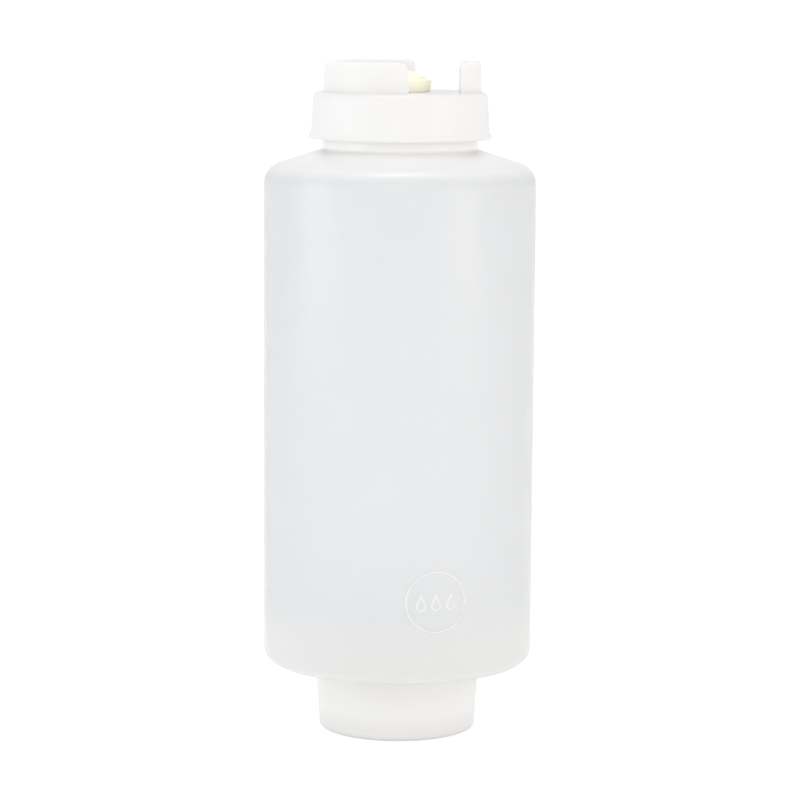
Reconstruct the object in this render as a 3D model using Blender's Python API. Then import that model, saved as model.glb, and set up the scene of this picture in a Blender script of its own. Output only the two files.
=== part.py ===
"""First-in first-out squeeze bottle, standing on its refill cap.

A blow-moulded translucent bottle is open at both ends. The upper neck carries a
dispensing cap with a slit silicone valve inside a three-part guard ring; the lower
neck is closed by a smooth refill cap, the foot that the bottle stands on.
Every turned piece shares the vertical axis. +Z is up, the camera side is -Y.
"""

import math

import bmesh
import bpy
from mathutils import Matrix, Vector

MM = 0.001

# Driving dimensions: the bottle
BODY_RADIUS = 44.0 * MM
BODY_TAPER = 0.2 * MM
UPPER_CORNER_Z = 183.5 * MM
UPPER_SLOPE = math.radians(18.0)
UPPER_FILLET = 7.0 * MM
LOWER_CORNER_Z = 22.6 * MM
LOWER_SLOPE = math.radians(6.0)
LOWER_FILLET = 4.6 * MM
WALL = 1.2 * MM
NECK_WALL = 1.7 * MM
UPPER_NECK_RADIUS = 25.0 * MM
LOWER_NECK_RADIUS = 23.6 * MM
NECK_FILLET = 1.2 * MM

# Driving dimensions: the dispensing cap and its guard
LIP_BOTTOM_Z = 193.1 * MM
LIP_RADIUS = 29.6 * MM
LIP_HEIGHT = 1.9 * MM
LIP_DRAFT = 0.2 * MM
LIP_EDGE = 0.25 * MM
SKIRT_FOOT_RADIUS = 28.85 * MM
SKIRT_TOP_RADIUS = 28.1 * MM
DECK_Z = 208.1 * MM
DECK_FILLET = 2.0 * MM
DECK_THICKNESS = 1.8 * MM
INNER_CORNER = 0.8 * MM
SKIRT_INNER_RADIUS = 26.7 * MM
SKIRT_MOUTH_FLARE = 0.4 * MM
VALVE_HOLE_RADIUS = 7.7 * MM
GUARD_RADIUS = 26.1 * MM
GUARD_TOP_RADIUS = 25.7 * MM
GUARD_THICKNESS = 2.1 * MM
GUARD_TOP_Z = 217.9 * MM
GUARD_EDGE = 0.45 * MM
GAP_COUNT = 3
GAP_WIDTH = 18.4 * MM
GAP_DRAFT = math.radians(2.0)
GAP_CORNER = 2.3 * MM
FIRST_GAP_TURN = math.radians(26.9)

# Driving dimensions: the valve
VALVE_RING_RADIUS = 9.9 * MM
VALVE_RING_TOP_Z = 212.1 * MM
VALVE_BUTTON_RADIUS = 7.8 * MM
VALVE_DOME_Z = 215.1 * MM
VALVE_DOME_EDGE_Z = 213.1 * MM
VALVE_WALL = 1.6 * MM
VALVE_CATCH_RADIUS = 9.0 * MM
VALVE_CATCH_HEIGHT = 1.6 * MM
VALVE_CATCH_TAPER = 0.8 * MM
VALVE_RING_FLARE = 0.6 * MM
VALVE_RING_FLARE_HEIGHT = 2.0 * MM
VALVE_RING_EDGE = 0.4 * MM
VALVE_DOME_SHARE = 0.93
VALVE_DOME_EDGE = 0.3 * MM
VALVE_INNER_FILLET = 2.0 * MM
SLIT_LENGTH = 7.0 * MM
SLIT_WIDTH = 0.3 * MM
SLIT_DEPTH = 0.5 * MM
SLIT_TURNS = (math.radians(45.0), math.radians(135.0))

# Driving dimensions: the refill cap
CUP_FOOT_RADIUS = 25.4 * MM
CUP_RIM_RADIUS = 26.7 * MM
CUP_FOOT_FILLET = 1.4 * MM
CUP_RIM_Z = 19.4 * MM
CUP_WALL = 1.4 * MM
CUP_FLOOR = 1.8 * MM
CUP_RIM_OUTER_EDGE = 0.4 * MM
CUP_RIM_INNER_EDGE = 0.3 * MM

# Driving dimensions: the raised moulding mark low on the bottle's front
MARK_TURN = math.radians(16.2)
MARK_Z = 49.3 * MM
MARK_RADIUS = 10.0 * MM
MARK_LINE = 0.6 * MM
MARK_HEIGHT = 0.3 * MM
DROP_COUNT = 3
DROP_PITCH = 4.9 * MM
DROP_RADIUS = 1.6 * MM
DROP_HEIGHT = 5.6 * MM

# The tools that cut the guard's gaps and the valve's slits
CUT_NEAR = 15.0 * MM
CUT_FAR = 34.0 * MM
CUT_OVERSHOOT = 4.0 * MM
BLADE_DEPTHS = 4

FIT_GAP = 0.3 * MM
ARC_ERROR = 0.05 * MM
WELD = 0.001 * MM
BODY_STEPS = 64
CAP_STEPS = 64
VALVE_STEPS = 36
DOME_STEPS = 5
MARK_STEPS = 44
DROP_STEPS = 12
GAP_CORNER_STEPS = 5
SHARP = math.radians(40.0)

# Finishes: colour, roughness and share of light let through
BOTTLE_FINISH = ((0.82, 0.83, 0.84), 0.32, 0.5)
CAP_FINISH = ((0.93, 0.93, 0.92), 0.38, 0.0)
FOOT_FINISH = ((0.91, 0.91, 0.90), 0.38, 0.0)
SILICONE_FINISH = ((0.94, 0.90, 0.70), 0.45, 0.0)


def clear_scene():
    for thing in list(bpy.data.objects):
        bpy.data.objects.remove(thing, do_unlink=True)


def plastic(name, finish_values):
    """A moulded finish on a Principled BSDF."""
    colour, roughness, transmission = finish_values
    material = bpy.data.materials.new(name)
    material.use_nodes = True
    shader = material.node_tree.nodes["Principled BSDF"]
    shader.inputs["Base Color"].default_value = (*colour, 1.0)
    shader.inputs["Roughness"].default_value = roughness
    shader.inputs["Metallic"].default_value = 0.0
    shader.inputs["Transmission Weight"].default_value = transmission
    return material


def rounded(corners):
    """An outline through (radius, height, fillet) corners, each fillet an arc."""
    outline = []
    for index, (radius, height, fillet) in enumerate(corners):
        corner = Vector((radius, height))
        if fillet == 0.0:
            outline.append(corner)
            continue
        before = (Vector(corners[index - 1][:2]) - corner).normalized()
        after = (Vector(corners[(index + 1) % len(corners)][:2]) - corner).normalized()
        half = before.angle(after) / 2
        centre = corner + (before + after).normalized() * (fillet / math.sin(half))
        start = corner + before * (fillet / math.tan(half)) - centre
        end = corner + after * (fillet / math.tan(half)) - centre
        sweep = start.angle_signed(end)
        steps = math.ceil(abs(sweep) / (2 * math.acos(1 - ARC_ERROR / fillet)))
        for step in range(steps + 1):
            turned = Matrix.Rotation(-sweep * step / steps, 2) @ start
            outline.append(centre + turned)
    return outline


def turned_mesh(outline, steps):
    """Spin a closed outline once round Z; points on the axis become poles."""
    bm = bmesh.new()
    ring = [bm.verts.new((point.x, 0.0, point.y)) for point in outline]
    edges = []
    for first, second in zip(ring, ring[1:] + ring[:1]):
        if max(first.co.x, second.co.x) > 0.0:
            edges.append(bm.edges.new((first, second)))
    bmesh.ops.spin(bm, geom=ring + edges, cent=(0, 0, 0), axis=(0, 0, 1),
                   angle=math.tau, steps=steps, use_merge=True)
    bmesh.ops.remove_doubles(bm, verts=bm.verts, dist=WELD)
    bmesh.ops.recalc_face_normals(bm, faces=bm.faces)
    return bm


def finish(name, bm, material):
    """Turn a bmesh into a named object with smooth shading and one material."""
    mesh = bpy.data.meshes.new(name)
    bm.to_mesh(mesh)
    bm.free()
    mesh.materials.append(material)
    mesh.shade_smooth()
    mesh.set_sharp_from_angle(angle=SHARP)
    piece = bpy.data.objects.new(name, mesh)
    bpy.context.collection.objects.link(piece)
    return piece


def combine(piece, tool, operation):
    """Apply an exact Boolean of piece with tool, and remove the tool."""
    modifier = piece.modifiers.new(tool.name, "BOOLEAN")
    modifier.operation = operation
    modifier.solver = "EXACT"
    modifier.object = tool
    bpy.context.view_layer.objects.active = piece
    bpy.ops.object.modifier_apply(modifier=modifier.name)
    bpy.data.objects.remove(tool, do_unlink=True)


def shoulder_z(radius, corner_radius, corner_z, slope):
    """Height of a sloping shoulder where it meets a given radius."""
    return corner_z + (corner_radius - radius) * math.tan(slope)


def bottle_outline():
    """Outer and inner wall of the bottle, open through both necks."""
    foot_radius = BODY_RADIUS - BODY_TAPER
    upper_end = DECK_Z - DECK_THICKNESS - FIT_GAP
    lower_end = CUP_FLOOR + FIT_GAP
    upper_in = UPPER_NECK_RADIUS - NECK_WALL
    lower_in = LOWER_NECK_RADIUS - NECK_WALL
    upper_drop = WALL * (1 - math.sin(UPPER_SLOPE)) / math.cos(UPPER_SLOPE)
    lower_drop = WALL * (1 - math.sin(LOWER_SLOPE)) / math.cos(LOWER_SLOPE)
    inner_top = (BODY_RADIUS - WALL, UPPER_CORNER_Z - upper_drop)
    inner_foot = (foot_radius - WALL, LOWER_CORNER_Z + lower_drop)
    upper_neck_z = shoulder_z(UPPER_NECK_RADIUS, BODY_RADIUS, UPPER_CORNER_Z, UPPER_SLOPE)
    lower_neck_z = shoulder_z(LOWER_NECK_RADIUS, foot_radius, LOWER_CORNER_Z, -LOWER_SLOPE)
    upper_in_z = shoulder_z(upper_in, *inner_top, UPPER_SLOPE)
    lower_in_z = shoulder_z(lower_in, *inner_foot, -LOWER_SLOPE)
    return rounded([
        (UPPER_NECK_RADIUS, upper_end, 0.0),
        (UPPER_NECK_RADIUS, upper_neck_z, NECK_FILLET),
        (BODY_RADIUS, UPPER_CORNER_Z, UPPER_FILLET),
        (foot_radius, LOWER_CORNER_Z, LOWER_FILLET),
        (LOWER_NECK_RADIUS, lower_neck_z, 0.0),
        (LOWER_NECK_RADIUS, lower_end, 0.0),
        (lower_in, lower_end, 0.0),
        (lower_in, lower_in_z, NECK_FILLET),
        (*inner_foot, LOWER_FILLET - WALL),
        (*inner_top, UPPER_FILLET - WALL),
        (upper_in, upper_in_z, NECK_FILLET),
        (upper_in, upper_end, 0.0),
    ])


def wrap_on_wall(bm):
    """Bend a flat relief (X along the wall, Y up, Z outward) round the bottle."""
    share = (UPPER_CORNER_Z - MARK_Z) / (UPPER_CORNER_Z - LOWER_CORNER_Z)
    wall_radius = BODY_RADIUS - share * BODY_TAPER
    for vert in bm.verts:
        turn = MARK_TURN + vert.co.x / BODY_RADIUS
        reach = wall_radius + vert.co.z
        height = MARK_Z + vert.co.y
        vert.co = Vector((reach * math.sin(turn), -reach * math.cos(turn), height))
    bmesh.ops.recalc_face_normals(bm, faces=bm.faces)


def raised_band(outer, inner=None):
    """A flat relief between closed outlines, sunk into the wall at its back."""
    bm = bmesh.new()
    depths = (-WALL / 2, MARK_HEIGHT)
    loops = []
    for outline in filter(None, (outer, inner)):
        loops.append([[bm.verts.new((x, y, depth)) for x, y in outline] for depth in depths])
    for low, high in loops:
        for index in range(len(low)):
            after = (index + 1) % len(low)
            bm.faces.new((low[index], low[after], high[after], high[index]))
    for level in (0, 1):
        if inner is None:
            bm.faces.new(loops[0][level])
            continue
        outside, inside = loops[0][level], loops[1][level]
        for index in range(len(outside)):
            after = (index + 1) % len(outside)
            bm.faces.new((outside[index], outside[after], inside[after], inside[index]))
    wrap_on_wall(bm)
    return bm


def circle(radius):
    """Points of a circle about the mark's centre."""
    turns = [math.tau * index / MARK_STEPS for index in range(MARK_STEPS)]
    return [(radius * math.cos(turn), radius * math.sin(turn)) for turn in turns]


def drop(centre_x):
    """The outline of one sauce drop, round below and pointed above."""
    tangent = math.asin(DROP_RADIUS / (DROP_HEIGHT - DROP_RADIUS))
    base_y = DROP_RADIUS - DROP_HEIGHT / 2
    sweep = math.pi + 2 * tangent
    points = [(centre_x, DROP_HEIGHT / 2)]
    for index in range(DROP_STEPS + 1):
        turn = math.pi - tangent + sweep * index / DROP_STEPS
        points.append((centre_x + DROP_RADIUS * math.cos(turn), base_y + DROP_RADIUS * math.sin(turn)))
    return points


def add_mark(bottle, material):
    """Fuse the raised ring and its row of drops to the front of the wall."""
    ring = raised_band(circle(MARK_RADIUS), circle(MARK_RADIUS - MARK_LINE))
    combine(bottle, finish("mark_ring", ring, material), "UNION")
    for index in range(DROP_COUNT):
        offset = (index - (DROP_COUNT - 1) / 2) * DROP_PITCH
        relief = raised_band(drop(offset))
        combine(bottle, finish(f"mark_drop_{index}", relief, material), "UNION")


def make_bottle():
    material = plastic("translucent_plastic", BOTTLE_FINISH)
    bottle = finish("bottle", turned_mesh(bottle_outline(), BODY_STEPS), material)
    add_mark(bottle, material)
    bottle.data.set_sharp_from_angle(angle=SHARP)
    return bottle


def guard_ring(material):
    """The full guard wall, before its gaps are cut."""
    inner = GUARD_RADIUS - GUARD_THICKNESS
    root = DECK_Z - DECK_THICKNESS / 2
    outline = rounded([
        (GUARD_RADIUS, root, 0.0),
        (GUARD_TOP_RADIUS, GUARD_TOP_Z, GUARD_EDGE),
        (GUARD_TOP_RADIUS - GUARD_THICKNESS, GUARD_TOP_Z, GUARD_EDGE),
        (inner, root, 0.0),
    ])
    return finish("guard_ring", turned_mesh(outline, CAP_STEPS), material)


def gap_cutter(turn, material):
    """A radial prism that opens one gap, flared at the top for round corners."""
    low = DECK_Z - DECK_THICKNESS
    high = GUARD_TOP_Z + CUT_OVERSHOOT
    half = GAP_WIDTH / 2
    side = [(half, low), (half, DECK_Z)]
    top_half = half + (GUARD_TOP_Z - DECK_Z) * math.tan(GAP_DRAFT)
    for step in range(GAP_CORNER_STEPS + 1):
        bend = math.pi / 2 * step / GAP_CORNER_STEPS
        x = top_half + GAP_CORNER * (1 - math.cos(bend))
        z = GUARD_TOP_Z - GAP_CORNER * (1 - math.sin(bend))
        side.append((x, z))
    side.append((top_half + GAP_CORNER, high))
    outline = side + [(-x, z) for x, z in reversed(side)]
    bm = bmesh.new()
    bottom = [bm.verts.new((x, -CUT_NEAR, z)) for x, z in outline]
    face = bm.faces.new(bottom)
    pushed = bmesh.ops.extrude_face_region(bm, geom=[face])
    moved = [item for item in pushed["geom"] if isinstance(item, bmesh.types.BMVert)]
    bmesh.ops.translate(bm, verts=moved, vec=(0, CUT_NEAR - CUT_FAR, 0))
    bmesh.ops.rotate(bm, verts=bm.verts, cent=(0, 0, 0), matrix=Matrix.Rotation(turn, 3, "Z"))
    bmesh.ops.recalc_face_normals(bm, faces=bm.faces)
    return finish("gap_cutter", bm, material)


def cap_outline():
    """Skirt with a flared lip, round-edged deck and the valve's hole."""
    under = DECK_Z - DECK_THICKNESS
    return rounded([
        (SKIRT_TOP_RADIUS, DECK_Z, DECK_FILLET),
        (SKIRT_FOOT_RADIUS, LIP_BOTTOM_Z + LIP_HEIGHT, 0.0),
        (LIP_RADIUS, LIP_BOTTOM_Z + LIP_HEIGHT / 2, LIP_EDGE),
        (LIP_RADIUS - LIP_DRAFT, LIP_BOTTOM_Z, LIP_DRAFT),
        (SKIRT_INNER_RADIUS + SKIRT_MOUTH_FLARE, LIP_BOTTOM_Z, 0.0),
        (SKIRT_INNER_RADIUS, under, INNER_CORNER),
        (VALVE_HOLE_RADIUS, under, 0.0),
        (VALVE_HOLE_RADIUS, DECK_Z, 0.0),
    ])


def make_dispensing_cap():
    material = plastic("white_plastic", CAP_FINISH)
    ring = guard_ring(material)
    for index in range(GAP_COUNT):
        turn = FIRST_GAP_TURN + math.tau * index / GAP_COUNT
        combine(ring, gap_cutter(turn, material), "DIFFERENCE")
    cap = finish("dispensing_cap", turned_mesh(cap_outline(), CAP_STEPS), material)
    combine(cap, ring, "UNION")
    cap.data.set_sharp_from_angle(angle=SHARP)
    return cap


def valve_outline():
    """A domed silicone button: seat ring above the deck, catch ring below it."""
    waist = VALVE_HOLE_RADIUS - FIT_GAP
    seat = DECK_Z + FIT_GAP
    catch_top = DECK_Z - DECK_THICKNESS - FIT_GAP
    catch_foot = catch_top - VALVE_CATCH_HEIGHT
    bore = waist - VALVE_WALL
    rise = VALVE_DOME_Z - VALVE_DOME_EDGE_Z
    sphere = (VALVE_BUTTON_RADIUS ** 2 + rise ** 2) / (2 * rise)
    dome = []
    for step in range(DOME_STEPS + 1):
        radius = VALVE_BUTTON_RADIUS * VALVE_DOME_SHARE * step / DOME_STEPS
        height = VALVE_DOME_Z - sphere + math.sqrt(sphere ** 2 - radius ** 2)
        dome.append((radius, height, 0.0))
    return rounded(dome + [
        (VALVE_BUTTON_RADIUS, VALVE_DOME_EDGE_Z - VALVE_DOME_EDGE, 0.0),
        (VALVE_BUTTON_RADIUS, VALVE_RING_TOP_Z, 0.0),
        (VALVE_RING_RADIUS, VALVE_RING_TOP_Z, VALVE_RING_EDGE),
        (VALVE_RING_RADIUS, seat + VALVE_RING_FLARE_HEIGHT, 0.0),
        (VALVE_RING_RADIUS - VALVE_RING_FLARE, seat, 0.0),
        (waist, seat, 0.0),
        (waist, catch_top, 0.0),
        (VALVE_CATCH_RADIUS, catch_top, 0.0),
        (VALVE_CATCH_RADIUS - VALVE_CATCH_TAPER, catch_foot, 0.0),
        (bore, catch_foot, 0.0),
        (bore, VALVE_RING_TOP_Z - VALVE_WALL, VALVE_INNER_FILLET),
        (0.0, VALVE_RING_TOP_Z, 0.0),
    ])


def slit_cutter(turn, material):
    """A thin upright blade that scores one slit across the dome."""
    bm = bmesh.new()
    bmesh.ops.create_cube(bm, size=1.0)
    bmesh.ops.scale(bm, verts=bm.verts, vec=(SLIT_LENGTH, SLIT_WIDTH, BLADE_DEPTHS * SLIT_DEPTH))
    bmesh.ops.rotate(bm, verts=bm.verts, cent=(0, 0, 0), matrix=Matrix.Rotation(turn, 3, "Z"))
    bmesh.ops.translate(bm, verts=bm.verts, vec=(0, 0, VALVE_DOME_Z + (BLADE_DEPTHS / 2 - 1) * SLIT_DEPTH))
    return finish("slit_cutter", bm, material)


def make_valve():
    material = plastic("silicone", SILICONE_FINISH)
    valve = finish("valve", turned_mesh(valve_outline(), VALVE_STEPS), material)
    cross, second = [slit_cutter(turn, material) for turn in SLIT_TURNS]
    combine(cross, second, "UNION")
    combine(valve, cross, "DIFFERENCE")
    valve.data.set_sharp_from_angle(angle=SHARP)
    return valve


def cup_outline():
    """The refill cap: a smooth tapered cup with a flat foot."""
    return rounded([
        (0.0, CUP_FLOOR, 0.0),
        (0.0, 0.0, 0.0),
        (CUP_FOOT_RADIUS, 0.0, CUP_FOOT_FILLET),
        (CUP_RIM_RADIUS, CUP_RIM_Z, CUP_RIM_OUTER_EDGE),
        (CUP_RIM_RADIUS - CUP_WALL, CUP_RIM_Z, CUP_RIM_INNER_EDGE),
        (CUP_FOOT_RADIUS - CUP_WALL, CUP_FLOOR, INNER_CORNER),
    ])


def make_refill_cap():
    material = plastic("white_plastic", FOOT_FINISH)
    return finish("refill_cap", turned_mesh(cup_outline(), CAP_STEPS), material)


def main():
    clear_scene()
    make_bottle()
    make_dispensing_cap()
    make_valve()
    make_refill_cap()


main()
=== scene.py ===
"""Looks for a first-in first-out squeeze bottle, in a soft white studio.

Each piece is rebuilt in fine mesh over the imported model's sizes and stands for one of its
nodes: a milky bottle, a white dispensing cap, a cream silicone valve and a white refill cap.
All lengths are metres; MM turns millimetres into metres. Heights and turns are measured from
the middle of the foot, with the front at -Y.
"""
import math

import bmesh
import bpy
from mathutils import Matrix, Vector


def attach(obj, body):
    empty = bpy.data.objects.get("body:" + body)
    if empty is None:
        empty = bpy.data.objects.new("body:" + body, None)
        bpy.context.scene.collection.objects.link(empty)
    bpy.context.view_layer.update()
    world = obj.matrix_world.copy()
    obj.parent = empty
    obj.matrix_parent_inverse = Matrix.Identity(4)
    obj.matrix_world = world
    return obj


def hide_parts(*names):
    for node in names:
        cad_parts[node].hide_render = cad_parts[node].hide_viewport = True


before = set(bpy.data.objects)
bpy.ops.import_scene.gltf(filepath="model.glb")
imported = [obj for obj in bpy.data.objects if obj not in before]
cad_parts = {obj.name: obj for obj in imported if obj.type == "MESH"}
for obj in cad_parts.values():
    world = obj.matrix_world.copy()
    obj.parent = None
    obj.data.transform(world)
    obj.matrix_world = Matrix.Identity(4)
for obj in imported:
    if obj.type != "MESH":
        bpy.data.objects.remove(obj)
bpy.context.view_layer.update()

MM = 0.001
WHITE = (1.0, 1.0, 1.0)

# Bottle
BODY_RADIUS = 44.0 * MM
BODY_TAPER = 0.2 * MM
UPPER_CORNER_Z = 183.5 * MM
UPPER_SLOPE = math.radians(18.0)
UPPER_FILLET = 7.0 * MM
LOWER_CORNER_Z = 22.6 * MM
LOWER_SLOPE = math.radians(6.0)
LOWER_FILLET = 4.6 * MM
WALL = 1.2 * MM
NECK_WALL = 1.7 * MM
UPPER_NECK_RADIUS = 25.0 * MM
LOWER_NECK_RADIUS = 23.6 * MM
NECK_FILLET = 1.2 * MM
SEAM_WIDTH = 0.5 * MM
SEAM_HEIGHT = 0.08 * MM

# Dispensing cap
LIP_BOTTOM_Z = 193.1 * MM
LIP_RADIUS = 29.6 * MM
LIP_HEIGHT = 1.9 * MM
SKIRT_FOOT_RADIUS = 28.85 * MM
SKIRT_TOP_RADIUS = 28.1 * MM
DECK_Z = 208.1 * MM
DECK_FILLET = 2.0 * MM
DECK_THICKNESS = 1.8 * MM
SKIRT_INNER_RADIUS = 26.7 * MM
SKIRT_INNER_FILLET = 0.8 * MM
SKIRT_CHAMFER = 0.4 * MM
LIP_CHAMFER = 0.2 * MM
LIP_FILLET = 0.25 * MM
VALVE_HOLE_RADIUS = 7.7 * MM
GUARD_RADIUS = 26.1 * MM
GUARD_TOP_RADIUS = 25.7 * MM
GUARD_THICKNESS = 2.1 * MM
GUARD_TOP_Z = 217.9 * MM
GUARD_EDGE = 0.45 * MM
GUARD_EDGE_STEPS = 4
GUARD_EDGE_ANGLE = math.radians(60.0)
GUARD_COLUMNS = 44
GAP_COUNT = 3
GAP_WIDTH = 18.4 * MM
GAP_DRAFT = math.radians(2.0)
GAP_CORNER = 2.3 * MM
GAP_CORNER_STEPS = 12
FIRST_GAP_TURN = math.radians(26.9)

# Valve
VALVE_RING_RADIUS = 9.9 * MM
VALVE_RING_FILLET = 0.5 * MM
VALVE_RING_TOP_Z = 212.1 * MM
VALVE_RING_FOOT = 2.0 * MM
VALVE_RING_CHAMFER = 0.6 * MM
VALVE_BUTTON_RADIUS = 7.8 * MM
VALVE_DOME_Z = 215.1 * MM
VALVE_DOME_EDGE_Z = 213.1 * MM
VALVE_DOME_STEPS = 24
VALVE_DOME_SHARE = 0.95
VALVE_WALL = 1.6 * MM
VALVE_BORE_FILLET = 2.0 * MM
VALVE_CATCH_RADIUS = 9.0 * MM
VALVE_CATCH_HEIGHT = 1.6 * MM
VALVE_CATCH_CHAMFER = 0.8 * MM
SLIT_TURNS = (math.radians(45.0), math.radians(135.0))
SLIT_LENGTH = 7.0 * MM
SLIT_WIDTH = 0.25 * MM
SLIT_DEPTH = 0.5 * MM

# Refill cap
CUP_FOOT_RADIUS = 25.4 * MM
CUP_RIM_RADIUS = 26.7 * MM
CUP_FOOT_FILLET = 1.4 * MM
CUP_RIM_Z = 19.4 * MM
CUP_RIM_FILLET = 0.4 * MM
CUP_WALL = 1.4 * MM
CUP_FLOOR = 1.8 * MM
CUP_FLOOR_FILLET = 0.8 * MM

# Raised moulding mark
MARK_TURN = math.radians(16.2)
MARK_Z = 49.3 * MM
MARK_RADIUS = 10.0 * MM
MARK_LINE = 0.6 * MM
MARK_STEEPNESS = 1.35
MARK_HEIGHT = 0.3 * MM
# Painted highlight: how far the ring and the drops' rims are whitened towards the necks' white.
MARK_HIGHLIGHT = 0.8
DROP_COUNT = 3
DROP_PITCH = 4.9 * MM
DROP_RADIUS = 1.6 * MM
DROP_HEIGHT = 5.6 * MM
DROP_SLOPE = 0.35 * MM
DROP_RIM_INSET = 0.2 * MM
DROP_RIM_WIDTH = 0.3 * MM

# Small fillets, gaps between pieces, and how finely the meshes are cut
TINY_FILLET = 0.2 * MM
SMALL_FILLET = 0.3 * MM
FIT_GAP = 0.3 * MM
SEAT_GAP = 0.05 * MM
ARC_ERROR = 0.004 * MM
FINE = 0.17 * MM
COARSE = 4.0 * MM
ROUND_STEP = 1.2 * MM
MARK_MARGIN = 0.6 * MM
LONG_WALL = 50.0 * MM
TOUCHING = 1e-7
SMOOTH = math.radians(35.0)
CAP_TURNS = 256
VALVE_TURNS = 128
# Name of the mesh layer that holds the mark's painted highlight.
HIGHLIGHT_ATTRIBUTE = "painted_highlight"

# Looks that change with height: (height in mm, value)
# White share outside: thick plastic and painted light at the necks, painted overhead light on the
# shoulder (181-190 mm), painted light from below low on the body (21.6-46 mm).
OUTSIDE_WHITE_AND_PAINTED_LIGHT = [(0, 1), (20.9, 1), (21.6, 0.15), (34, 0.15), (46, 0), (181, 0),
                 (184, 0.4), (187, 0.6), (189, 1), (190, 1), (210, 1)]
# Painted warmth: the lower body warms below 33-44 mm, standing in for the refill cup seen through
# the wall.
OUTSIDE_PAINTED_WARMTH = [(0, 1), (33, 1), (44, 0), (210, 0)]
# White share inside: thick plastic in the lower neck, painted light from below on the floor of the
# body (22.1-26 mm).
INSIDE_WHITE_AND_PAINTED_LIGHT = [(0, 1), (22.1, 1), (22.6, 0.4), (24.4, 0.4), (26, 0), (210, 0)]
# Painted shade on the refill cup: 0 at the foot takes the shade's grey, 1 keeps the cup's own
# colour.
FOOT_SHADE_FADE = [(0, 0), (1, 0.35), (2.5, 0.75), (8, 1), (20, 1)]
GUARD_THIN = [(0, 0), (208.1, 0), (209.6, 1), (220, 1)]

# Colours, as (darker, lighter) where noise runs between two
BODY_TINTS = ((0.878, 0.889, 0.904), (0.888, 0.898, 0.911))
# Painted warmth of the refill cup seen through the lower body.
BODY_FOOT_PAINTED_WARMTH = (0.895, 0.891, 0.882)
# The necks' white, which the painted light and the mark's painted highlight also blend towards.
NECK_TINT = (0.98, 0.976, 0.968)
INSIDE_TINTS = ((0.985, 0.99, 0.995), (0.99, 0.995, 1.0))
CAP_TINTS = ((0.928, 0.921, 0.914), (0.938, 0.931, 0.924))
CUP_TINTS = ((0.914, 0.908, 0.899), (0.924, 0.918, 0.909))
# Painted shade: the grey the refill cup darkens to at its foot.
CUP_FOOT_SHADE_TINT = (0.58, 0.57, 0.55)
GUARD_TINT = (0.8, 0.79, 0.779)
SILICONE_TINTS = ((0.99, 0.964, 0.77), (0.998, 0.976, 0.797))
FLOOR_TINTS = ((0.39, 0.39, 0.39), (0.4, 0.4, 0.4))

# Shares of light that pass through or scatter within
BODY_CLEAR = 0.4
NECK_CLEAR = 0.02
CAP_CLEAR = 0.2
GUARD_CLEAR = 0.08
GUARD_SCATTER = 0.8
GUARD_SCATTER_DEPTH = 8.0 * MM
SILICONE_SCATTER = 0.05
SILICONE_SCATTER_DEPTH = 1.0 * MM
SILICONE_SCATTER_COLOUR = (1.0, 0.9, 0.6)

# The part of a noise's range that most of it fills
NOISE_LOW = 0.3
NOISE_HIGH = 0.7

# Studio: each light has a place, an aim, a size in metres, a power in watts and a colour
LIGHTS = {
    "left_box": ((-1.25, -0.42, 0.25), (0, 0, 0.11), (0.7, 1.0), 3.05, (0.95, 0.975, 1.0)),
    "right_box": ((1.0, -0.75, 0.45), (0, 0, 0.13), (0.6, 0.9), 2.15, (1.0, 0.945, 0.875)),
    "top_box": ((-0.03, 0.06, 1.2), (0, 0, 0.15), (0.5, 0.25), 1.5, WHITE),
    "front_box": ((-0.1, -0.8, 1.1), (0, 0, 0.15), (0.5, 0.4), 0.5, WHITE),
    "fill_box": ((-0.1, -1.15, 0.6), (0, 0, 0.15), (0.6, 0.5), 0.62, WHITE),
}
SKY_STRENGTH = 0.9
FLOOR_GLOW = 0.71
FLOOR_HALF_SIZE = 60.0
FLOOR_CELLS = 8
BOUNCES = {"max_bounces": 24, "diffuse_bounces": 10, "transmission_bounces": 20}

# Camera
CAMERA_PLACE = (0.00043, -1.010, 0.2434)
CAMERA_DOWN = math.radians(7.64)
CAMERA_ROLL = math.radians(0.37)
CAMERA_LENS = 140.64
CAMERA_SENSOR = 36.0
CAMERA_REACH = 200.0


# ---------------------------------------------------------------- shapes

def rounded(corners):
    """An outline through (radius, height, fillet) corners, each fillet an arc."""
    outline = []
    for index, (radius, height, fillet) in enumerate(corners):
        corner = Vector((radius, height))
        if fillet == 0.0:
            outline.append(corner)
            continue
        before = (Vector(corners[index - 1][:2]) - corner).normalized()
        after = (Vector(corners[(index + 1) % len(corners)][:2]) - corner).normalized()
        half = before.angle(after) / 2
        centre = corner + (before + after).normalized() * (fillet / math.sin(half))
        start = corner + before * (fillet / math.tan(half)) - centre
        end = corner + after * (fillet / math.tan(half)) - centre
        sweep = start.angle_signed(end)
        steps = math.ceil(abs(sweep) / (2 * math.acos(1 - ARC_ERROR / fillet)))
        for step in range(steps + 1):
            outline.append(centre + Matrix.Rotation(-sweep * step / steps, 2) @ start)
    return outline


def evenly(count):
    """Turns spaced evenly round the axis."""
    return [math.tau * index / count for index in range(count)]


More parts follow.
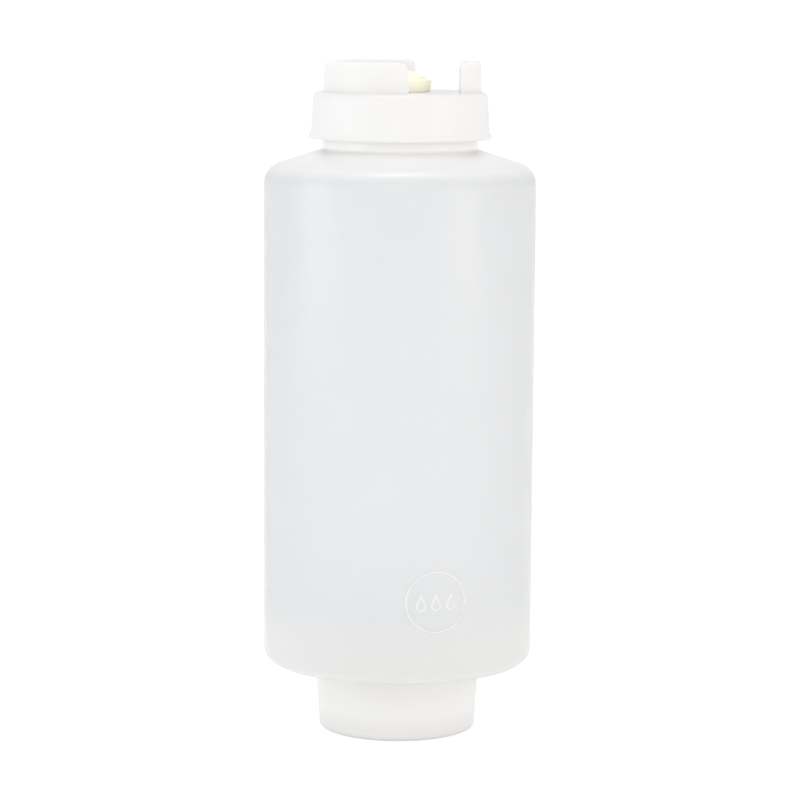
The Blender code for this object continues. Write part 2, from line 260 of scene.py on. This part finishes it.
def turned(name, outline, turns, relief=None, relief_rows=()):
    """Revolve a closed outline through a list of turns.

    On the relief's rows, relief(turn, z) gives how far a point is pushed out and how much painted
    highlight whitens it.
    """
    bm = bmesh.new()
    painted_highlight = bm.verts.layers.float.new(HIGHLIGHT_ATTRIBUTE)
    columns = []
    poles = {}
    for turn in turns:
        column = []
        for index, point in enumerate(outline):
            if point.x < TOUCHING:
                if index not in poles:
                    poles[index] = bm.verts.new((0.0, 0.0, point.y))
                column.append(poles[index])
                continue
            rise, white = relief(turn, point.y) if index in relief_rows else (0.0, 0.0)
            radius = point.x + rise
            made = bm.verts.new((radius * math.sin(turn), -radius * math.cos(turn), point.y))
            made[painted_highlight] = white
            column.append(made)
        columns.append(column)
    rows = len(outline)
    for here, there in zip(columns, columns[1:] + columns[:1]):
        for index in range(rows):
            after = (index + 1) % rows
            corners = dict.fromkeys([here[index], there[index], there[after], here[after]])
            if len(corners) > 2:
                bm.faces.new(list(corners))
    bmesh.ops.recalc_face_normals(bm, faces=bm.faces)
    return finish(name, bm)


def finish(name, bm):
    """Make a smooth-shaded object from a bmesh."""
    mesh = bpy.data.meshes.new(name)
    bm.to_mesh(mesh)
    bm.free()
    mesh.shade_smooth()
    mesh.set_sharp_from_angle(angle=SMOOTH)
    piece = bpy.data.objects.new(name, mesh)
    bpy.context.collection.objects.link(piece)
    return piece


def combine(piece, tool, operation):
    """Apply an exact Boolean of piece with tool, and remove the tool."""
    modifier = piece.modifiers.new(tool.name, "BOOLEAN")
    modifier.operation = operation
    modifier.solver = "EXACT"
    modifier.object = tool
    bpy.context.view_layer.objects.active = piece
    bpy.ops.object.modifier_apply(modifier=modifier.name)
    bpy.data.objects.remove(tool, do_unlink=True)
    piece.data.shade_smooth()
    piece.data.set_sharp_from_angle(angle=SMOOTH)


def shoulder_z(radius, corner_radius, corner_z, slope):
    """Height of a sloping shoulder where it meets a given radius."""
    return corner_z + (corner_radius - radius) * math.tan(slope)


def smoothstep(value):
    """A soft step from 0 to 1, held at both ends."""
    value = min(max(value, 0.0), 1.0)
    return value * value * (3 - 2 * value)


# ---------------------------------------------------------------- bottle

def bottle_outline():
    """Outer and inner wall of the bottle, open through both necks."""
    foot_radius = BODY_RADIUS - BODY_TAPER
    upper_end = DECK_Z - DECK_THICKNESS - FIT_GAP
    lower_end = CUP_FLOOR + FIT_GAP
    upper_in = UPPER_NECK_RADIUS - NECK_WALL
    lower_in = LOWER_NECK_RADIUS - NECK_WALL
    upper_drop = WALL * (1 - math.sin(UPPER_SLOPE)) / math.cos(UPPER_SLOPE)
    lower_drop = WALL * (1 - math.sin(LOWER_SLOPE)) / math.cos(LOWER_SLOPE)
    inner_top = (BODY_RADIUS - WALL, UPPER_CORNER_Z - upper_drop)
    inner_foot = (foot_radius - WALL, LOWER_CORNER_Z + lower_drop)
    upper_neck_z = shoulder_z(UPPER_NECK_RADIUS, BODY_RADIUS, UPPER_CORNER_Z, UPPER_SLOPE)
    lower_neck_z = shoulder_z(LOWER_NECK_RADIUS, foot_radius, LOWER_CORNER_Z, -LOWER_SLOPE)
    upper_in_z = shoulder_z(upper_in, *inner_top, UPPER_SLOPE)
    lower_in_z = shoulder_z(lower_in, *inner_foot, -LOWER_SLOPE)
    outside = [
        (UPPER_NECK_RADIUS, upper_end, 0.0),
        (UPPER_NECK_RADIUS, upper_neck_z, NECK_FILLET),
        (BODY_RADIUS, UPPER_CORNER_Z, UPPER_FILLET),
        (foot_radius, LOWER_CORNER_Z, LOWER_FILLET),
        (LOWER_NECK_RADIUS, lower_neck_z, NECK_FILLET),
        (LOWER_NECK_RADIUS, lower_end, 0.0),
    ]
    inside = [
        (lower_in, lower_end, 0.0),
        (lower_in, lower_in_z, NECK_FILLET),
        (*inner_foot, LOWER_FILLET - WALL),
        (*inner_top, UPPER_FILLET - WALL),
        (upper_in, upper_in_z, NECK_FILLET),
        (upper_in, upper_end, 0.0),
    ]
    return rounded(outside + inside)


def wall_heights(high, low):
    """Heights down the outer wall: close together across the mark, far apart elsewhere."""
    reach = MARK_RADIUS + MARK_MARGIN
    stops = [high, MARK_Z + reach, MARK_Z - reach, low]
    heights = []
    for (above, below), pitch in zip(zip(stops, stops[1:]), (COARSE, FINE, COARSE)):
        count = math.ceil((above - below) / pitch)
        heights += [above + (below - above) * step / count for step in range(count)]
    return heights[1:]


def with_rows(outline):
    """Split the outline's long outer wall into rows.

    Returns the outline, the indices of those rows and that of the first inner point.
    """
    result = []
    outer = set()
    for index, point in enumerate(outline):
        after = outline[(index + 1) % len(outline)]
        result.append(point)
        if point.y - after.y > LONG_WALL:
            for z in wall_heights(point.y, after.y):
                outer.add(len(result))
                result.append(point.lerp(after, (point.y - z) / (point.y - after.y)))
    lower_end = min(point.y for point in result)
    inner_start = [index for index, point in enumerate(result) if point.y == lower_end][-1]
    return result, outer, inner_start


def drop_reach(x, y):
    """How far a point lies inside the nearest drop's edge, about the mark's centre."""
    best = -1.0
    tip = DROP_HEIGHT / 2
    base = DROP_RADIUS - DROP_HEIGHT / 2
    tangent = math.asin(DROP_RADIUS / (tip - base))
    for index in range(DROP_COUNT):
        offset = abs(x - (index - (DROP_COUNT - 1) / 2) * DROP_PITCH)
        reach = DROP_RADIUS - math.hypot(offset, y - base)
        if y > base + DROP_RADIUS * math.sin(tangent):
            side = (tip - y) * math.sin(tangent) - offset * math.cos(tangent)
            reach = max(reach, side) if y < tip else reach
        best = max(best, reach)
    return best


def wall_relief(turn, z):
    """Height of the moulded ring, drops and parting lines at a point, and its painted highlight."""
    height = white = 0.0
    for side in (math.pi / 2, -math.pi / 2):
        away = math.remainder(turn - MARK_TURN - side, math.tau) * BODY_RADIUS
        height = max(height, SEAM_HEIGHT * smoothstep(1 - abs(away) / (SEAM_WIDTH / 2)))
    x = math.remainder(turn - MARK_TURN, math.tau) * BODY_RADIUS
    y = z - MARK_Z
    radial = math.hypot(x, y)
    if radial < MARK_RADIUS + MARK_LINE:
        middle = MARK_RADIUS - MARK_LINE / 2
        ring = smoothstep(MARK_STEEPNESS * (1 - abs(radial - middle) / (MARK_LINE / 2)))
        reach = drop_reach(x, y)
        drops = smoothstep(reach / DROP_SLOPE)
        rim_highlight = smoothstep(1 - abs(reach - DROP_RIM_INSET) / DROP_RIM_WIDTH)
        height = max(height, MARK_HEIGHT * max(ring, drops))
        # Painted highlight: the ring and the drops' rims are whitened.
        white = MARK_HIGHLIGHT * max(ring ** 2, rim_highlight)
    return height, white


def bottle_turns():
    """Turns round the bottle: fine across the mark and the parting lines."""
    mark = (MARK_RADIUS + MARK_MARGIN) / BODY_RADIUS
    seam = SEAM_WIDTH / BODY_RADIUS
    quarter = math.pi / 2
    stops = [-math.pi, -quarter - seam, -quarter + seam, -mark,
             mark, quarter - seam, quarter + seam, math.pi]
    turns = []
    for index, (start, end) in enumerate(zip(stops, stops[1:])):
        pitch = FINE if index % 2 else ROUND_STEP
        count = math.ceil((end - start) * BODY_RADIUS / pitch)
        turns += [MARK_TURN + start + (end - start) * step / count for step in range(count)]
    return turns


def make_bottle():
    """The whole bottle as one shell, whose inner faces take the second material."""
    outline, outer, inner_start = with_rows(bottle_outline())
    bottle = turned("bottle_shell", outline, bottle_turns(), wall_relief, outer)
    bottle.data.materials.append(bottle_plastic())
    bottle.data.materials.append(inner_plastic())
    rows = len(outline)
    for face in bottle.data.polygons:
        if all(inner_start <= vertex % rows for vertex in face.vertices):
            face.material_index = 1
    return bottle


# ---------------------------------------------------------------- dispensing cap

def cap_outline():
    """Skirt with a flared lip, round-edged deck and the valve's hole."""
    under = DECK_Z - DECK_THICKNESS
    return rounded([
        (SKIRT_TOP_RADIUS, DECK_Z, DECK_FILLET),
        (SKIRT_FOOT_RADIUS, LIP_BOTTOM_Z + LIP_HEIGHT, SMALL_FILLET),
        (LIP_RADIUS, LIP_BOTTOM_Z + LIP_HEIGHT / 2, LIP_FILLET),
        (LIP_RADIUS - LIP_CHAMFER, LIP_BOTTOM_Z, TINY_FILLET),
        (SKIRT_INNER_RADIUS + SKIRT_CHAMFER, LIP_BOTTOM_Z, TINY_FILLET),
        (SKIRT_INNER_RADIUS, under, SKIRT_INNER_FILLET),
        (VALVE_HOLE_RADIUS, under, TINY_FILLET),
        (VALVE_HOLE_RADIUS, DECK_Z, SMALL_FILLET),
    ])


def guard_segment(index):
    """One third of the guard: a round-edged slab bent about the axis."""
    middle = GUARD_RADIUS - GUARD_THICKNESS / 2
    half_turn = math.pi / GAP_COUNT
    half_length = middle * (half_turn - math.asin(GAP_WIDTH / 2 / middle))
    root = DECK_Z - DECK_THICKNESS / 2
    top_half = half_length - (GUARD_TOP_Z - DECK_Z) * math.tan(GAP_DRAFT)
    side = [(half_length, root), (half_length, DECK_Z)]
    for step in range(GAP_CORNER_STEPS + 1):
        bend = math.pi / 2 * step / GAP_CORNER_STEPS
        side.append((top_half - GAP_CORNER * (1 - math.cos(bend)),
                     GUARD_TOP_Z - GAP_CORNER * (1 - math.sin(bend))))
    outline = side + [(-x, z) for x, z in reversed(side)]
    bm = bmesh.new()
    face = bm.faces.new([bm.verts.new((x, -GUARD_THICKNESS / 2, z)) for x, z in outline])
    pushed = bmesh.ops.extrude_face_region(bm, geom=[face])
    moved = [item for item in pushed["geom"] if isinstance(item, bmesh.types.BMVert)]
    bmesh.ops.translate(bm, verts=moved, vec=(0, GUARD_THICKNESS, 0))
    bmesh.ops.recalc_face_normals(bm, faces=bm.faces)
    rim = [edge for edge in bm.edges
           if edge.calc_face_angle(0.0) > GUARD_EDGE_ANGLE
           and max(vert.co.z for vert in edge.verts) > DECK_Z]
    bmesh.ops.bevel(bm, geom=rim, offset=GUARD_EDGE, offset_type="OFFSET",
                    segments=GUARD_EDGE_STEPS, profile=0.5, affect="EDGES", clamp_overlap=True)
    for column in range(1, GUARD_COLUMNS):
        x = half_length * (2 * column / GUARD_COLUMNS - 1)
        everything = bm.verts[:] + bm.edges[:] + bm.faces[:]
        bmesh.ops.bisect_plane(bm, geom=everything, dist=TOUCHING,
                               plane_co=(x, 0, 0), plane_no=(1, 0, 0))
    centre_turn = FIRST_GAP_TURN + math.tau * (index + 0.5) / GAP_COUNT
    for vert in bm.verts:
        lean = (GUARD_RADIUS - GUARD_TOP_RADIUS) * (vert.co.z - root) / (GUARD_TOP_Z - root)
        radius = middle - vert.co.y - lean
        reach = half_turn - math.asin(GAP_WIDTH / 2 / radius)
        turn = centre_turn + vert.co.x / half_length * reach
        vert.co = Vector((radius * math.sin(turn), -radius * math.cos(turn), vert.co.z))
    bmesh.ops.recalc_face_normals(bm, faces=bm.faces)
    return finish(f"guard_{index}", bm)


def make_dispensing_cap():
    """The cap's body with its three guard walls."""
    cap = turned("cap_body", cap_outline(), evenly(CAP_TURNS))
    for index in range(GAP_COUNT):
        combine(cap, guard_segment(index), "UNION")
    return cap


# ---------------------------------------------------------------- valve and refill cap

def valve_outline():
    """A domed silicone button: seat ring above the deck, catch ring below it."""
    waist = VALVE_HOLE_RADIUS - FIT_GAP
    seat = DECK_Z + SEAT_GAP
    catch_top = DECK_Z - DECK_THICKNESS - FIT_GAP
    catch_foot = catch_top - VALVE_CATCH_HEIGHT
    bore = waist - VALVE_WALL
    rise = VALVE_DOME_Z - VALVE_DOME_EDGE_Z
    sphere = (VALVE_BUTTON_RADIUS ** 2 + rise ** 2) / (2 * rise)
    dome = []
    for step in range(VALVE_DOME_STEPS + 1):
        radius = VALVE_BUTTON_RADIUS * VALVE_DOME_SHARE * step / VALVE_DOME_STEPS
        height = VALVE_DOME_Z - sphere + math.sqrt(sphere ** 2 - radius ** 2)
        dome.append((radius, height, 0.0))
    return rounded(dome + [
        (VALVE_BUTTON_RADIUS, VALVE_DOME_EDGE_Z - TINY_FILLET, TINY_FILLET),
        (VALVE_BUTTON_RADIUS, VALVE_RING_TOP_Z, SMALL_FILLET),
        (VALVE_RING_RADIUS, VALVE_RING_TOP_Z, VALVE_RING_FILLET),
        (VALVE_RING_RADIUS, seat + VALVE_RING_FOOT, SMALL_FILLET),
        (VALVE_RING_RADIUS - VALVE_RING_CHAMFER, seat, TINY_FILLET),
        (waist, seat, 0.0),
        (waist, catch_top, 0.0),
        (VALVE_CATCH_RADIUS, catch_top, TINY_FILLET),
        (VALVE_CATCH_RADIUS - VALVE_CATCH_CHAMFER, catch_foot, TINY_FILLET),
        (bore, catch_foot, TINY_FILLET),
        (bore, VALVE_RING_TOP_Z - VALVE_WALL, VALVE_BORE_FILLET),
        (0.0, VALVE_RING_TOP_Z, 0.0),
    ])


def slit_cutter(turn):
    """A thin upright blade that scores one slit across the dome."""
    bm = bmesh.new()
    bmesh.ops.create_cube(bm, size=1.0)
    bmesh.ops.scale(bm, verts=bm.verts, vec=(SLIT_LENGTH, SLIT_WIDTH, 4 * SLIT_DEPTH))
    bmesh.ops.rotate(bm, verts=bm.verts, cent=(0, 0, 0), matrix=Matrix.Rotation(turn, 3, "Z"))
    bmesh.ops.translate(bm, verts=bm.verts, vec=(0, 0, VALVE_DOME_Z + SLIT_DEPTH))
    return finish("slit_cutter", bm)


def make_valve():
    """The silicone button with its scored cross."""
    valve = turned("valve_button", valve_outline(), evenly(VALVE_TURNS))
    cross, second_slit = [slit_cutter(turn) for turn in SLIT_TURNS]
    combine(cross, second_slit, "UNION")
    combine(valve, cross, "DIFFERENCE")
    return valve


def make_refill_cap():
    """A smooth tapered cup with a flat foot."""
    outline = rounded([
        (0.0, CUP_FLOOR, 0.0),
        (0.0, 0.0, 0.0),
        (CUP_FOOT_RADIUS, 0.0, CUP_FOOT_FILLET),
        (CUP_RIM_RADIUS, CUP_RIM_Z, CUP_RIM_FILLET),
        (CUP_RIM_RADIUS - CUP_WALL, CUP_RIM_Z, SMALL_FILLET),
        (CUP_FOOT_RADIUS - CUP_WALL, CUP_FLOOR, CUP_FLOOR_FILLET),
    ])
    return turned("refill_cup", outline, evenly(CAP_TURNS))


# ---------------------------------------------------------------- materials

class Graph:
    """A material's node tree with short helpers."""

    def __init__(self, name):
        self.material = bpy.data.materials.new(name)
        self.material.use_nodes = True
        self.tree = self.material.node_tree
        self.shader = self.tree.nodes["Principled BSDF"]

    def node(self, kind, **settings):
        """Add a node and set its own properties."""
        made = self.tree.nodes.new(kind)
        for key, value in settings.items():
            setattr(made, key, value)
        return made

    def link(self, source, target):
        """Join an output to an input."""
        self.tree.links.new(source, target)

    def noise(self, scale, detail, stretch=(1.0, 1.0, 1.0)):
        """Object-space noise, value 0 to 1."""
        place = self.node("ShaderNodeTexCoord")
        mapping = self.node("ShaderNodeMapping")
        mapping.inputs["Scale"].default_value = stretch
        noise = self.node("ShaderNodeTexNoise")
        noise.inputs["Scale"].default_value = scale
        noise.inputs["Detail"].default_value = detail
        self.link(place.outputs["Object"], mapping.inputs["Vector"])
        self.link(mapping.outputs["Vector"], noise.inputs["Vector"])
        return noise.outputs["Fac"]

    def tint(self, noise, tints):
        """Run from the first colour to the second over a noise's range."""
        ramp = self.node("ShaderNodeValToRGB")
        elements = ramp.color_ramp.elements
        for element, position, tint in zip(elements, (NOISE_LOW, NOISE_HIGH), tints):
            element.position = position
            element.color = (*tint, 1.0)
        self.link(noise, ramp.inputs["Fac"])
        return ramp.outputs["Color"]

    def spread(self, noise, low, high):
        """Run from low to high over a noise's range."""
        spread = self.node("ShaderNodeMapRange")
        spread.inputs["From Min"].default_value = NOISE_LOW
        spread.inputs["From Max"].default_value = NOISE_HIGH
        spread.inputs["To Min"].default_value = low
        spread.inputs["To Max"].default_value = high
        self.link(noise, spread.inputs["Value"])
        return spread.outputs["Result"]

    def by_height(self, stops):
        """A value that follows (height in mm, value) stops up the object."""
        place = self.node("ShaderNodeTexCoord")
        split = self.node("ShaderNodeSeparateXYZ")
        curve = self.node("ShaderNodeFloatCurve")
        height = self.node("ShaderNodeMapRange")
        top = stops[-1][0]
        height.inputs["From Max"].default_value = top * MM
        points = curve.mapping.curves[0].points
        while len(points) < len(stops):
            points.new(0.5, 0.5)
        for point, (z, value) in zip(points, stops):
            point.location = (z / top, value)
            point.handle_type = "VECTOR"
        curve.mapping.update()
        self.link(place.outputs["Object"], split.inputs["Vector"])
        self.link(split.outputs["Z"], height.inputs["Value"])
        self.link(height.outputs["Result"], curve.inputs["Value"])
        return curve.outputs["Value"]

    def blend(self, factor, low, high):
        """Mix two numbers, or two colours or colour outputs, by a factor."""
        flat = isinstance(low, float)
        mix = self.node("ShaderNodeMix", data_type="FLOAT" if flat else "RGBA")
        kind = "VALUE" if flat else "RGBA"
        sockets = [item for item in mix.inputs if item.type == kind and item.name in ("A", "B")]
        self.link(factor, mix.inputs["Factor"])
        for socket, end in zip(sockets, (low, high)):
            if isinstance(end, bpy.types.NodeSocket):
                self.link(end, socket)
            else:
                socket.default_value = end if flat else (*end, 1.0)
        return next(item for item in mix.outputs if item.type == kind)

    def bump(self, value, strength, distance, before=None):
        """Relief from a value, on top of another bump if one is given."""
        bump = self.node("ShaderNodeBump")
        bump.inputs["Strength"].default_value = strength
        bump.inputs["Distance"].default_value = distance
        self.link(value, bump.inputs["Height"])
        if before:
            self.link(before, bump.inputs["Normal"])
        return bump.outputs["Normal"]

    def drive(self, **sources):
        """Link outputs to the shader's inputs, named with _ for a space."""
        for name, source in sources.items():
            self.link(source, self.shader.inputs[name.replace("_", " ")])

    def set(self, **values):
        """Set constant inputs of the shader, named with _ for a space."""
        for name, value in values.items():
            self.shader.inputs[name.replace("_", " ")].default_value = value


def bottle_plastic():
    """Milky blow-moulded polyethylene: thin and clear on the body, thick and white at the necks;
    painted light whitens the necks, shoulder, lower body and mark, and warms the lower body.
    """
    g = Graph("translucent_plastic_look")
    bands = g.noise(scale=30.0, detail=2.0, stretch=(1.0, 1.0, 0.12))
    # Body colour: noise bands, warmed low down by the painted see-through warmth of the refill cup.
    body = g.blend(g.by_height(OUTSIDE_PAINTED_WARMTH), g.tint(bands, BODY_TINTS), BODY_FOOT_PAINTED_WARMTH)
    # The mark's painted highlight, read from the mesh.
    mark = g.node("ShaderNodeAttribute", attribute_name=HIGHLIGHT_ATTRIBUTE)
    white = g.node("ShaderNodeMath", operation="MAXIMUM")
    # The larger of the height share (thick necks and painted light) and the mark's painted
    # highlight whitens the wall and makes it less clear.
    g.link(g.by_height(OUTSIDE_WHITE_AND_PAINTED_LIGHT), white.inputs[0])
    g.link(mark.outputs["Fac"], white.inputs[1])
    share = white.outputs["Value"]
    wavy = g.bump(bands, strength=0.25, distance=0.4 * MM)
    grain = g.noise(scale=900.0, detail=2.0)
    g.drive(
        Base_Color=g.blend(share, body, NECK_TINT),
        Transmission_Weight=g.blend(share, BODY_CLEAR, NECK_CLEAR),
        Roughness=g.spread(g.noise(scale=90.0, detail=3.0), low=0.4, high=0.48),
        Normal=g.bump(grain, strength=0.08, distance=0.05 * MM, before=wavy),
    )
    g.set(IOR=1.5, Coat_Weight=0.4, Coat_Roughness=0.12)
    return g.material


def inner_plastic():
    """The polished inside of the same wall: clear, with faint ripples."""
    g = Graph("inner_wall_look")
    g.drive(
        Base_Color=g.tint(g.noise(scale=40.0, detail=2.0), INSIDE_TINTS),
        Roughness=g.spread(g.noise(scale=60.0, detail=2.0), low=0.05, high=0.12),
        # Inside, the necks are thick white plastic and the body's floor is whitened by painted
        # light from below.
        Transmission_Weight=g.blend(g.by_height(INSIDE_WHITE_AND_PAINTED_LIGHT), 1.0, NECK_CLEAR),
    )
    g.set(IOR=1.5)
    return g.material


def cap_plastic(name, tints, guards=False, foot_shade=None):
    """White moulded polypropylene, thin and glowing in the guards, greyed towards a foot by painted
    shade.
    """
    g = Graph(name)
    colour = g.tint(g.noise(scale=40.0, detail=2.0), tints)
    if guards:
        thin = g.by_height(GUARD_THIN)
        colour = g.blend(thin, colour, GUARD_TINT)
        g.drive(Transmission_Weight=g.blend(thin, CAP_CLEAR, GUARD_CLEAR),
                Subsurface_Weight=g.blend(thin, 0.0, GUARD_SCATTER))
        g.set(Subsurface_Radius=WHITE, Subsurface_Scale=GUARD_SCATTER_DEPTH)
    else:
        g.set(Transmission_Weight=CAP_CLEAR)
    # Painted shade: the colour greys towards the foot, by height.
    if foot_shade:
        colour = g.blend(g.by_height(FOOT_SHADE_FADE), foot_shade, colour)
    grain = g.noise(scale=1400.0, detail=2.0)
    g.drive(
        Base_Color=colour,
        Roughness=g.spread(g.noise(scale=140.0, detail=3.0), low=0.36, high=0.46),
        Normal=g.bump(grain, strength=0.12, distance=0.04 * MM),
    )
    g.set(IOR=1.49, Coat_Weight=0.15, Coat_Roughness=0.25)
    return g.material


def silicone():
    """Soft cream-yellow silicone."""
    g = Graph("silicone_look")
    grain = g.noise(scale=1800.0, detail=2.0)
    g.drive(
        Base_Color=g.tint(g.noise(scale=120.0, detail=2.0), SILICONE_TINTS),
        Roughness=g.spread(g.noise(scale=300.0, detail=3.0), low=0.42, high=0.55),
        Normal=g.bump(grain, strength=0.1, distance=0.04 * MM),
    )
    g.set(IOR=1.43, Subsurface_Weight=SILICONE_SCATTER,
          Subsurface_Radius=SILICONE_SCATTER_COLOUR, Subsurface_Scale=SILICONE_SCATTER_DEPTH)
    return g.material


def floor_paper():
    """Matt white sweep with barely visible tooth, which gives off a little light."""
    g = Graph("studio_paper")
    g.drive(Base_Color=g.tint(g.noise(scale=6.0, detail=2.0), FLOOR_TINTS))
    g.set(Roughness=0.9, IOR=1.3, Emission_Color=(*WHITE, 1.0), Emission_Strength=FLOOR_GLOW)
    return g.material


# ---------------------------------------------------------------- studio

def make_floor():
    """A flat sheet of paper that reaches past the camera's view."""
    bm = bmesh.new()
    bmesh.ops.create_grid(bm, x_segments=FLOOR_CELLS, y_segments=FLOOR_CELLS, size=FLOOR_HALF_SIZE)
    floor = finish("studio_floor", bm)
    floor.data.materials.append(floor_paper())


def softbox(name, place, target, size, power, colour):
    """A rectangular area light at a place, facing its target."""
    light = bpy.data.lights.new(name, "AREA")
    light.shape = "RECTANGLE"
    light.size, light.size_y = size
    light.energy = power
    light.color = colour
    lamp = bpy.data.objects.new(name, light)
    lamp.location = place
    lamp.rotation_euler = (Vector(target) - Vector(place)).to_track_quat("-Z", "Y").to_euler()
    bpy.context.collection.objects.link(lamp)


def make_world():
    """An even white sky."""
    world = bpy.data.worlds.new("studio_world")
    bpy.context.scene.world = world
    world.use_nodes = True
    background = world.node_tree.nodes["Background"]
    background.inputs["Color"].default_value = (*WHITE, 1.0)
    background.inputs["Strength"].default_value = SKY_STRENGTH


def make_camera():
    """A long lens in front of the bottle, looking slightly down on it."""
    data = bpy.data.cameras.new("camera")
    data.sensor_width = CAMERA_SENSOR
    data.lens = CAMERA_LENS
    data.clip_end = CAMERA_REACH
    camera = bpy.data.objects.new("camera", data)
    tilt = Matrix.Rotation(math.pi / 2 - CAMERA_DOWN, 4, "X")
    roll = Matrix.Rotation(CAMERA_ROLL, 4, "Z")
    camera.matrix_world = Matrix.Translation(CAMERA_PLACE) @ tilt @ roll
    bpy.context.collection.objects.link(camera)
    bpy.context.scene.camera = camera


# ---------------------------------------------------------------- assembly

def dress(piece, node, material=None):
    """Stand a piece in for a node, with a material if one is given."""
    if material:
        piece.data.materials.clear()
        piece.data.materials.append(material)
    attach(piece, "root")
    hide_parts(node)


dress(make_bottle(), "bottle")
dress(make_dispensing_cap(), "dispensing_cap",
      cap_plastic("cap_plastic_look", CAP_TINTS, guards=True))
dress(make_valve(), "valve", silicone())
# The refill cup greys towards its foot by painted shade.
dress(make_refill_cap(), "refill_cap",
      cap_plastic("foot_plastic_look", CUP_TINTS, foot_shade=CUP_FOOT_SHADE_TINT))

make_floor()
make_world()
for light_name, settings in LIGHTS.items():
    softbox(light_name, *settings)
make_camera()
bpy.context.scene.view_settings.view_transform = "Standard"
for limit, bounces in BOUNCES.items():
    setattr(bpy.context.scene.cycles, limit, bounces)
